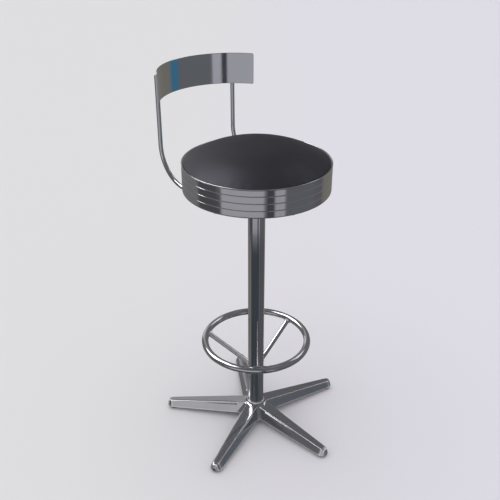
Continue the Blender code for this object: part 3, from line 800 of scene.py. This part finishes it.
def inflate(piece, s):
    # cloth under pressure with its lower part held; the way each point moved is capped
    scene = bpy.context.scene
    bpy.context.view_layer.objects.active = piece
    remesh = piece.modifiers.new("even", "REMESH")
    remesh.mode, remesh.voxel_size = "VOXEL", s["voxel"]
    with bpy.context.temp_override(object=piece, active_object=piece):
        bpy.ops.object.modifier_apply(modifier=remesh.name)
    count = len(piece.data.vertices)
    start = np.zeros(count * 3)
    piece.data.vertices.foreach_get("co", start)
    start = start.reshape(-1, 3)
    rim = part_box("seat_ring")[1].z
    held = piece.vertex_groups.new(name="held")
    low = np.nonzero(start[:, 2] < rim - s["hold"])[0]
    held.add([int(i) for i in low], 1.0, "REPLACE")
    cloth = piece.modifiers.new("cover", "CLOTH")
    cloth.settings.use_pressure = True
    cloth.settings.uniform_pressure_force = s["pressure"]
    cloth.settings.vertex_group_mass = "held"
    cloth.settings.quality = 5
    cloth.settings.tension_stiffness = s["tension"]
    cloth.settings.bending_stiffness = s["bending"]
    cloth.settings.effector_weights.gravity = 0.0
    cloth.collision_settings.use_collision = False
    for number in range(1, s["frames"] + 1):
        scene.frame_set(number)
    shape = piece.evaluated_get(bpy.context.evaluated_depsgraph_get())
    end = np.zeros(count * 3)
    shape.data.vertices.foreach_get("co", end)
    end = end.reshape(-1, 3)
    piece.modifiers.remove(cloth)
    scene.frame_set(1)
    shift = end - start
    size = np.linalg.norm(shift, axis=1)
    print("cushion moved at most %.1f mm" % (size.max() * 1000))
    shift *= (np.minimum(size, s["cap"]) / np.maximum(size, 1e-9))[:, None]
    piece.data.vertices.foreach_set("co", (start + shift).ravel())
    piece.data.update()


def buildCushion(s):
    points, faces = cushionForm(s)
    piece = makePiece("seat_cushion", points, faces, "seat", ["seat_cover", "seat_foam"],
                      0.0001)
    inflate(piece, s)
    piece.data.polygons.foreach_set("use_smooth", np.ones(len(piece.data.polygons), bool))
    smooth = piece.modifiers.new("smooth", "SUBSURF")
    smooth.levels = smooth.render_levels = 1
    piece.data.materials.append(vinyl)
    piece.visible_glossy = False


buildCushion(cushion)
print("cushion made")


# the parts below the seat keep their shape and get their finishes

finishOf = {"chrome": chrome, "cast_aluminium": castMetal, "vinyl": vinyl, "plywood": plywood,
            "black_steel": blackSteel, "zinc_steel": zinc, "nylon": nylon,
            "black_plastic": blackPlastic, "foam": nylon}


def dressNodes():
    # every carried mesh gets the finish of its slot in the record
    slots = {part["node"]: part["material_slot"] for part in frame["record"]["subparts"]}
    for name, node in nodes.items():
        if node.hide_render:
            continue
        node.data.materials.clear()
        node.data.materials.append(finishOf[slots[name]])


dressNodes()
print("carried parts finished:", len([n for n in nodes.values() if not n.hide_render]))


# studio: pale floor, overhead soft box, and a ring of soft panels for the chrome

studio = {
    "camera": ((-1.178754, -1.088103, 1.402763), (61.9594, 0.0, -46.6884), 50.1808),
    "overhead": (72.0, (-7.0, -6.0), 0.93),   # spread, lean about X and Y, strength
    "ambient": (0.165, 0.165, 0.175),
    "fill": (0.715, 0.710, 0.730),
    "pale": (0.700, 0.695, 0.720),
    # azimuth from, to, elevation from, to, softness, colour
    "panels": (
        (30, 128, -90, -4, 5, (0.20, 0.20, 0.205)),
        (124, 166, -90, -4, 4, (0.085, 0.083, 0.095)),
        (168, 234, -90, -4, 2, (0.43, 0.425, 0.455)),
        (160, 240, -22, -9, 2, (0.46, 0.47, 0.51)),
        (175, 230, -4, 14, 4, (0.60, 0.59, 0.61)),
        (238, 250, -90, -19, 1.5, (0.070, 0.070, 0.082)),
        (250, 267, -90, -19, 2, (0.42, 0.415, 0.45)),
        (233, 242, -19, 8, 1.5, (0.070, 0.072, 0.085)),
        (242, 258, -19, -2, 2, (0.47, 0.47, 0.53)),
        (267, 322, -90, 10, 3, (0.140, 0.145, 0.158)),
        (258, 322, -19, 10, 3, (0.150, 0.162, 0.180)),
        (320, 341, -90, -19, 2, (0.135, 0.125, 0.145)),
        (321, 341, -20, -12, 1.5, (0.060, 0.190, 0.32)),
        (341, 390, -90, -2, 4, (0.21, 0.205, 0.18)),
        (-10, 32, -90, -2, 4, (0.21, 0.205, 0.18)),
        (50, 150, -90, -27, 3, (0.21, 0.195, 0.18)),
        (150, 262, -90, -27, 3, (0.055, 0.068, 0.08)),
        (262, 350, -90, -27, 3, (0.115, 0.11, 0.13)),
        (22, 54, -58, -29, 5, (0.50, 0.49, 0.52)),
        (47, 78, 16, 42, 3, (0.43, 0.43, 0.44)),
        (64, 78, 4, 16, 3, (1.3, 1.3, 1.33)),
        (326, 344, 36, 48, 2, (1.3, 1.3, 1.33)),
        (350, 362, 40, 56, 2, (1.3, 1.3, 1.33)),
        (-2, 14, 40, 56, 2, (1.3, 1.3, 1.33)),
        (-20, 400, 66, 100, 3, (0.24, 0.24, 0.25)),
        (186, 268, 56, 90, 3, (0.10, 0.10, 0.105)),
        (98, 154, 50, 72, 4, (3.4, 3.4, 3.5)),
        (78, 104, 48, 64, 4, (5.0, 5.0, 5.15)),
        (90, 128, 30, 56, 4, (5.0, 5.0, 5.15)),
    ),
}


def buildStudio(s):
    # a camera, a matt floor, a wide overhead sun and a world whose panels are windows in
    # azimuth and elevation
    scene = bpy.context.scene
    place, turn, lens = s["camera"]
    camera = bpy.data.objects.new("camera", bpy.data.cameras.new("camera"))
    camera.location = place
    camera.rotation_euler = [math.radians(v) for v in turn]
    camera.data.lens, camera.data.clip_end = lens, 200.0
    scene.collection.objects.link(camera)
    scene.camera = camera

    mesh = bpy.data.meshes.new("floor")
    mesh.from_pydata([(-30, -30, 0), (30, -30, 0), (30, 30, 0), (-30, 30, 0)], [], [(0, 1, 2, 3)])
    floor = bpy.data.objects.new("floor", mesh)
    scene.collection.objects.link(floor)
    f = Finish("pale_floor", Roughness=0.9, Specular_IOR_Level=0.1)
    x = f.add("ShaderNodeSeparateXYZ", None, {"Vector": f.mapped((1, 1, 1), (0, 0, 0.83))}, out=0)
    f.feed(Base_Color=f.mix(x.ramp(-0.6, 0.5), (0.735, 0.735, 0.735, 1), (0.730, 0.718, 0.770, 1)))
    floor.data.materials.append(f.material)
    floor.visible_glossy = False

    spread, lean, strength = s["overhead"]
    light = bpy.data.lights.new("overhead", "SUN")
    light.angle, light.energy = math.radians(spread), strength
    lamp = bpy.data.objects.new("overhead", light)
    lamp.rotation_euler = (math.radians(lean[0]), math.radians(lean[1]), 0.0)
    lamp.visible_glossy = False
    scene.collection.objects.link(lamp)

    world = bpy.data.worlds.new("studio")
    scene.world = world
    w = Sky(world)
    parts = w.tree.nodes.new("ShaderNodeSeparateXYZ")
    w.tree.links.new(w.place.socket, parts.inputs[0])
    x, y, z = (Wire(w, parts.outputs[k]) for k in range(3))
    azimuth = (y * -1.0).math("ARCTAN2", x * -1.0) * (180 / math.pi) + 180.0
    elevation = z.math("ARCSINE") * (180 / math.pi)
    colour = w.mix(0.0, s["ambient"] + (1,), s["ambient"] + (1,))
    for a0, a1, e0, e1, soft, tone in s["panels"]:
        mask = azimuth.window(a0, a1, soft) * elevation.window(e0, e1, 0.8)
        colour = w.mix(mask, colour, tone + (1,))
    # mirrors see the panels, matt surfaces an even fill, the camera a plain backdrop
    path = w.tree.nodes.new("ShaderNodeLightPath")
    colour = w.mix(Wire(w, path.outputs["Is Glossy Ray"]), s["fill"] + (1,), colour)
    colour = w.mix(Wire(w, path.outputs["Is Camera Ray"]), colour, s["pale"] + (1,))
    background = w.tree.nodes["Background"]
    w.tree.links.new(colour.socket, background.inputs["Color"])
    scene.view_settings.view_transform = "Standard"


buildStudio(studio)
print("studio made")
